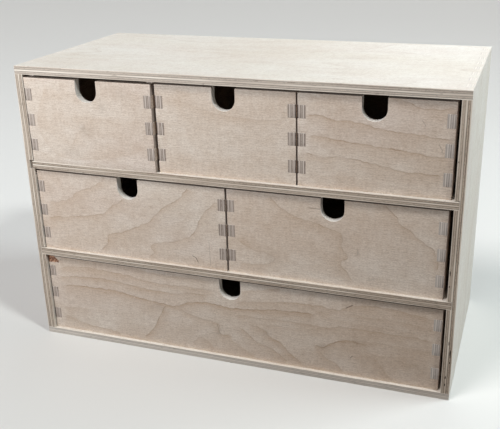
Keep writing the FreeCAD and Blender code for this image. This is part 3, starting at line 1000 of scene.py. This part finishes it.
def refine_face(mesh, plane, extra):
    """Cut the flat front face at a place on y into triangles with the extra points as corners."""
    shape = bmesh.new()
    shape.from_mesh(mesh)
    flat, loop = flat_front(shape, plane)
    finish = next(iter(flat)).material_index
    outline = np.array([(v.co.x, v.co.z) for v in loop])
    to_rim = nearest(extra, np.vstack([outline, outline[:1]]))[0]
    extra = extra[inside(extra, outline) & (to_rim > RIM)]
    cells = np.round(extra / CELL).astype(int)
    extra = extra[np.unique(cells, axis=0, return_index=True)[1]]
    spots = [Vector(p) for p in np.vstack([outline, extra])]
    verts, _, faces, origins, *_ = delaunay_2d_cdt(spots, [], [list(range(len(loop)))], 1, EXACT)
    bmesh.ops.delete(shape, geom=list(flat), context="FACES_KEEP_BOUNDARY")
    corner = []
    for spot, origin in zip(verts, origins):
        known = [k for k in origin if k < len(loop)]
        corner.append(loop[known[0]] if known else shape.verts.new((spot.x, plane, spot.y)))
    for a, b, c in faces:
        made = shape.faces.new((corner[a], corner[b], corner[c]))
        made.material_index = finish
        made.normal_update()
        if made.normal.y > 0:
            made.normal_flip()
    shape.to_mesh(mesh)
    shape.free()
    return len(loop), len(extra)


print("rim kept free:", RIM / MM, "mm")

# %% How dark the figure is at a place
SHADE_REACH = 6.0 * MM
DEEPER_SHADE = {"bottom_drawer": 1.4}  # the widest front has the strongest figure
ON_LINE = 0.1 * MM  # a point this near to a line is on neither side
FADE = 25  # a line fades out over one part in so many at its ends


def growth(spots, lines):
    """The darkness of the growth lines themselves, and of the soft shade on one side of them."""
    ring = np.zeros(len(spots))
    shade = np.zeros(len(spots))
    for strength, curve in lines:
        far, side, share = nearest(spots, curve)
        fade = np.clip(np.minimum(share, 1 - share) * FADE, 0, 1)
        ring = np.maximum(ring, strength * fade * np.clip(1 - far / LINE_HALF, 0, 1))
        lit = np.where(far < ON_LINE, 0.5, (side > 0).astype(float))
        shade = np.maximum(shade, strength * fade * lit * np.exp(-far / SHADE_REACH))
    return ring, shade


def ticked(spots, ticks):
    mark = np.zeros(len(spots))
    for strength, tick in ticks:
        mark = np.maximum(mark, np.clip(1 - nearest(spots, tick)[0] / TICK_HALF, 0, 1) * strength)
    return mark


def blobs(spots, middles):
    total = np.zeros(len(spots))
    for x, z, wide, high, strength in middles:
        gap = (spots / MM - (x, z)) / (wide, high)
        total += strength * np.exp(-(gap ** 2).sum(1))
    return total


print("shade beside a line:", SHADE_REACH / MM, "mm")

# %% Draw the figure on every front
SKIN = 1.0 * MM  # vertices this near to the front side carry the figure


def store(mesh, name, values, kind="FLOAT", domain="POINT"):
    layer = mesh.attributes.new(name, kind, domain)
    layer.data.foreach_set("vector" if kind == "FLOAT_VECTOR" else "value",
        np.asarray(values, np.float32).ravel())


for drawer in DRAWERS:
    mesh = boards[f"{drawer}_front"].data
    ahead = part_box(f"{drawer}_front")[0].y
    lines, ticks, extra = figure(drawer)
    rim_count, inner_count = refine_face(mesh, ahead, extra)
    co = numbers(mesh.vertices, "co")
    front = co[:, 1] < ahead + SKIN
    spots = co[front][:, (0, 2)]
    ring, shade = growth(spots, lines)
    layers = {"ring": ring, "shade": shade * DEEPER_SHADE.get(drawer, 1.0), "mark": ticked(spots, ticks),
        "stain": blobs(spots, STAINS.get(drawer, [])), "flame": blobs(spots, FLAME_AND_SHEEN_PATCHES.get(drawer, []))}
    for name, values in layers.items():
        whole = np.zeros(len(co))
        whole[front] = values
        store(mesh, name, whole)
    print(f"{drawer}_front: {rim_count} rim corners, {inner_count} points on the face")

# %% [markdown]
# ## Each board in its log
#
# The finishes need to know, at every point, how far it lies along the grain, across it and
# through the thickness. An unwrapped UV map could hold two of the three. A vector on each vertex
# holds all three, and a different shift for each board takes each from its own place in the log.

# %% Coordinates in the log, plies and end grain
PLIES = 5
THIN_PLIES = 3
LOG_STEP = (0.83, 0.29, 0.0)  # how far apart in the log two boards are cut
SANDED_OFF = 0.4  # share of each outer ply that sanding took
THICK = 5.0 * MM  # boards thicker than this have all five plies
TURNED = 0.7  # a face whose normal points this much along an axis faces that way


def faces_of_boards():
    """Every board's name, mesh and box, and the normals and centres of its faces."""
    for node, piece in boards.items():
        faces = piece.data.polygons
        yield node, piece.data, *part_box(node), numbers(faces, "normal"), numbers(faces, "center")


for number, (node, mesh, low, high, turned, centre) in enumerate(faces_of_boards()):
    place = numbers(mesh.vertices, "co")[:, axes[node]] - np.array([low[k] for k in axes[node]])
    plies = PLIES if thickness(node) > THICK else THIN_PLIES
    store(mesh, "ply", SANDED_OFF + place[:, 2] / thickness(node) * (plies - 2 * SANDED_OFF))
    store(mesh, "log", place + np.array(LOG_STEP) * (number + 1), "FLOAT_VECTOR")
    store(mesh, "end", np.abs(turned[:, axes[node][0]]) > TURNED, domain="FACE")
    if node.endswith("_front"):
        store(mesh, "drawn", np.ones(len(mesh.vertices)))
print("boards in the log:", len(boards))

# %% [markdown]
# ## Sanded edges and painted shade in the gaps
#
# Sandpaper rubs pale dust into an edge until its plies hardly show, but front edges and end grain
# stay plain; on the rims of the notches the pale tone is partly a painted highlight. The gaps beside
# the drawers look nearly black. More exact light could give that, at the price of a noisy picture,
# so a share on each face says how pale it is and how dark a painted shade is laid on it.

# %% How far each edge is sanded, with a painted highlight on the notch rims
SANDED_CASE, SANDED_DRAWER, SANDED_END = 0.72, 0.93, 0.1
SANDED_AHEAD = {"top_panel": 0.15, "base_panel": 0.42, "top_right_drawer_right_side": 0.25,
    "middle_right_drawer_right_side": 0.3, "bottom_drawer_right_side": 0.4}
FRONT_SKIN = 0.7 * MM  # the rim of a drawer's front is left plain to this depth

for node, mesh, low, high, turned, centre in faces_of_boards():
    sanded = np.full(len(centre), SANDED_DRAWER if "drawer" in node else SANDED_CASE)
    if "drawer" in node:
        sanded[np.abs(turned[:, axes[node][0]]) > TURNED] = SANDED_END
    if node.endswith("_front"):
        sanded[centre[:, 1] - low.y < FRONT_SKIN] = 0.0
        sanded[turned[:, 2] > TURNED] = 0.0
        # the notch's walls and rims are sanded pale, and partly this paleness is a painted highlight where
        # light falls on them
        beside = np.abs(centre[:, 0] - (low.x + high.x) / 2) < NOTCH_WIDTH / 2 + ARRIS
        sanded[beside & (centre[:, 2] > high.z - NOTCH_DEPTH - ARRIS)] = SANDED_DRAWER
    else:
        sanded[turned[:, 1] < -0.5] = SANDED_AHEAD.get(node, 0.0)
    store(mesh, "sanded", sanded, domain="FACE")
print("front edges sanded a little:", len(SANDED_AHEAD))

# %% Painted shade: how dark each gap is painted
UPPER_ARRIS_SHADE = 0.95
HOUSING_SHADE = 0.4
NOT_FLAT = 0.98  # normals that point along an axis by less than this lie on a slant
# fronts whose right corner also gets the painted shade
PAINTED_SHADE_RIGHT = ("top_middle", "middle_left")  # fronts whose right corner is dark too

for node, mesh, low, high, turned, centre in faces_of_boards():
    inward = centre[:, 1] - low.y
    painted_shade = np.zeros(len(centre))
    # painted shade: the top arris of each front, in the gap under the board above, is painted near black
    if node.endswith("_front"):
        upper = high.z - SHAVED - centre[:, 2] < ARRIS
        painted_shade[upper & (np.abs(turned[:, 1]) < NOT_FLAT) & (inward < ARRIS)] = UPPER_ARRIS_SHADE
    # painted shade: the chamfers down the outer corners of fronts and sides face the gaps between drawers
    # and are painted black
    if "drawer" in node and node.endswith(("_front", "_side")):
        outer = np.full(len(centre), np.inf)
        if not node.endswith("_right_side"):
            outer = np.minimum(outer, centre[:, 0] - low.x)
        if not node.endswith("_left_side") and node.startswith(PAINTED_SHADE_RIGHT):
            outer = np.minimum(outer, high.x - centre[:, 0])
        slanted = (np.abs(turned[:, :2]) < NOT_FLAT).all(axis=1)
        painted_shade[slanted & (outer < EASED + ARRIS) & (inward < EASED + ARRIS)] = 1.0
    # painted shade: the walls of the upper shelf's housing in the left side, beside the shelf's end, are
    # painted darker
    if node == "left_side_panel":
        shelf_low, shelf_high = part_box("upper_shelf")
        level = (centre[:, 2] > shelf_low.z - 0.1 * MM) & (centre[:, 2] < shelf_high.z + 1 * MM)
        inner = (np.abs(turned[:, 1]) < 0.5) & (centre[:, 0] > low.x + 1 * MM)
        painted_shade[level & inner] = HOUSING_SHADE
    if node == "right_side_panel":
        # painted shade: the walls inside the voids are painted near black, over the real shadow of the cut
        for x, z, width, height in VOIDS:
            near = np.hypot((centre[:, 0] / MM - x) / width, (centre[:, 2] / MM - z) / height) < 0.7
            painted_shade[near & (inward > 0.02 * MM) & (inward < VOID_DEPTH + 0.1 * MM)] = 1.0
        # the void faces take the edge finish, which carries the painted shade
        edge_slot = list(mesh.materials).index(EDGE)
        for k in np.flatnonzero(painted_shade):
            mesh.polygons[k].material_index = edge_slot
        print("faces in voids:", int(painted_shade.sum()))
    store(mesh, "painted_shade", painted_shade, domain="FACE")

# %% The chipped corner shows the next ply
chipped = boards["bottom_drawer_front"].data
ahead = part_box("bottom_drawer_front")[0].y
chipped.materials.append(BARED)
bared = 0
for face in chipped.polygons:
    if face.normal.y < -0.9 and 0.3 * MM < face.center.y - ahead < 1 * MM:
        face.material_index = len(chipped.materials) - 1
        bared += 1
print("bared faces:", bared)

# %% [markdown]
# ## Onto the frame
#
# Every board takes the place of its packed twin and rides on the same body, so a drawer's five
# boards slide out together. They could be parented by hand, but the frame knows the bodies. Faces
# are shaded smooth only where they meet at less than 18 degrees, as around the foot of a notch, so
# the flat faces and most rounded arrises stay flat shaded.

# %% Smooth the round parts and hand the boards over
SMOOTH = math.radians(18)
owner = {node: body for body, nodes in frame["record"]["behaviour"]["bodies"].items() for node in nodes}
triangles = 0
for node, piece in boards.items():
    piece.data.shade_smooth()
    piece.data.set_sharp_from_angle(angle=SMOOTH)
    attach(piece, owner[node])
    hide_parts(node)
    triangles += sum(len(f.vertices) - 2 for f in piece.data.polygons)
print("pieces:", len(boards), "triangles:", triangles)

# %% [markdown]
# ## Room, light and camera
#
# The chest stands on a plain pale floor. A wide lamp on the right lights the side, one at the
# upper left grades the fronts, and three suns do the rest: overhead for the top, low from behind,
# and from the right front. One strong lamp would be simpler and show more relief, but also black
# gaps that hide the joints. The camera's place was fitted to the corners of the chest in the photo.

# %% Floor and surroundings
FLOOR_SEEN = colour(227, 225, 221)  # what the camera sees
FLOOR_BOUNCE = colour(112, 110, 108)  # what the chest receives: a darker desk, as in most rooms
FLOOR_HALF = 8.0
WALL_TINT = (0.96, 0.98, 1.0, 1.0)
WALL_SEEN = 0.8  # the same for the walls, as strengths
WALL_GLOW = 0.09
floor_finish, graph = new_finish("floor")
seen = graph.add("ShaderNodeLightPath", output="Is Camera Ray")
finish_off(graph, blend(graph, seen, FLOOR_BOUNCE, FLOOR_SEEN), 0.9, gloss=0.1)
floor_shape = bmesh.new()
bmesh.ops.create_grid(floor_shape, x_segments=1, y_segments=1, size=FLOOR_HALF)
floor_mesh = bpy.data.meshes.new("floor")
floor_shape.to_mesh(floor_mesh)
floor_mesh.materials.append(floor_finish)
floor = add_object("floor", floor_mesh)
floor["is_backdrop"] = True

world = bpy.data.worlds.new("surroundings")
bpy.context.scene.world = world
world.use_nodes = True
backdrop = Graph(world.node_tree)
seen = backdrop.add("ShaderNodeLightPath", output="Is Camera Ray")
surround = world.node_tree.nodes["Background"]
backdrop.wire(surround, "Color", WALL_TINT)
backdrop.wire(surround, "Strength", seen * (WALL_SEEN - WALL_GLOW) + WALL_GLOW)
print("floor:", 2 * FLOOR_HALF, "m wide")

# %% Lamps
def lamp(name, kind, place, aim, tint, power, size):
    light = bpy.data.lights.new(name, kind)
    light.color = tint
    light.energy = power
    if kind == "SUN":
        light.angle = math.radians(size)
    else:
        light.size = size
    made = add_object(name, light)
    made.location = place
    made.rotation_euler = (Vector(aim) - Vector(place)).to_track_quat("-Z", "Y").to_euler()
    return light


MIDDLE = (0.0, 0.0, 0.0)
lamp("right", "AREA", (1.2, 0.35, 1.0), (0.15, 0.0, 0.15), (0.9, 1.02, 1.07), 12.7, 0.7)
graded = lamp("upper_left", "AREA", (-0.84, -1.8, 0.6), (-1.08, -0.1, 1.5), (0.925, 1.0, 1.075), 47, 0.4)
graded.spread = math.radians(117)
lamp("overhead", "SUN", (-0.3, -0.4, 0.87), MIDDLE, (1.01, 0.99, 1.0), 1.35, 22)
lamp("behind", "SUN", (0.0, 0.9, 0.12), MIDDLE, (1.0, 0.99, 0.97), 0.8, 30)
lamp("right_front", "SUN", (1.0, -0.42, 1.09), MIDDLE, (0.95, 1.02, 1.03), 1.1, 8)
print("lamps:", len(bpy.data.lights))

# %% Camera at the photographed angle
CAMERA_PLACE = (254.0 * MM, -722.3 * MM, 423.8 * MM)
TURN, TILT, ROLL = 19.27, 21.67, -1.10  # degrees: to the left, down, and about the view
FOCAL_SHARE = 1.5754  # focal length as a share of the picture's width
SENSOR = 36.0
SHIFT = -0.0295  # the view's middle lies a little to one side in the picture
camera_data = bpy.data.cameras.new("camera")
camera_data.sensor_width = SENSOR
camera_data.lens = SENSOR * FOCAL_SHARE
camera_data.shift_x = SHIFT
camera = add_object("camera", camera_data)
camera.matrix_world = (Matrix.Translation(CAMERA_PLACE)
    @ Matrix.Rotation(math.radians(TURN), 4, "Z")
    @ Matrix.Rotation(math.radians(90 - TILT), 4, "X")
    @ Matrix.Rotation(math.radians(ROLL), 4, "Z"))
bpy.context.scene.camera = camera
bpy.context.scene.view_settings.view_transform = "Standard"
print("focal length:", round(camera_data.lens, 1), "mm")

# %% Sizes, then the end
low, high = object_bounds()
{"cad": [list(cad_low), list(cad_high)], "visual": [list(low), list(high)]}
print("size in mm:", [round((b - a) / MM, 1) for a, b in zip(low, high)])
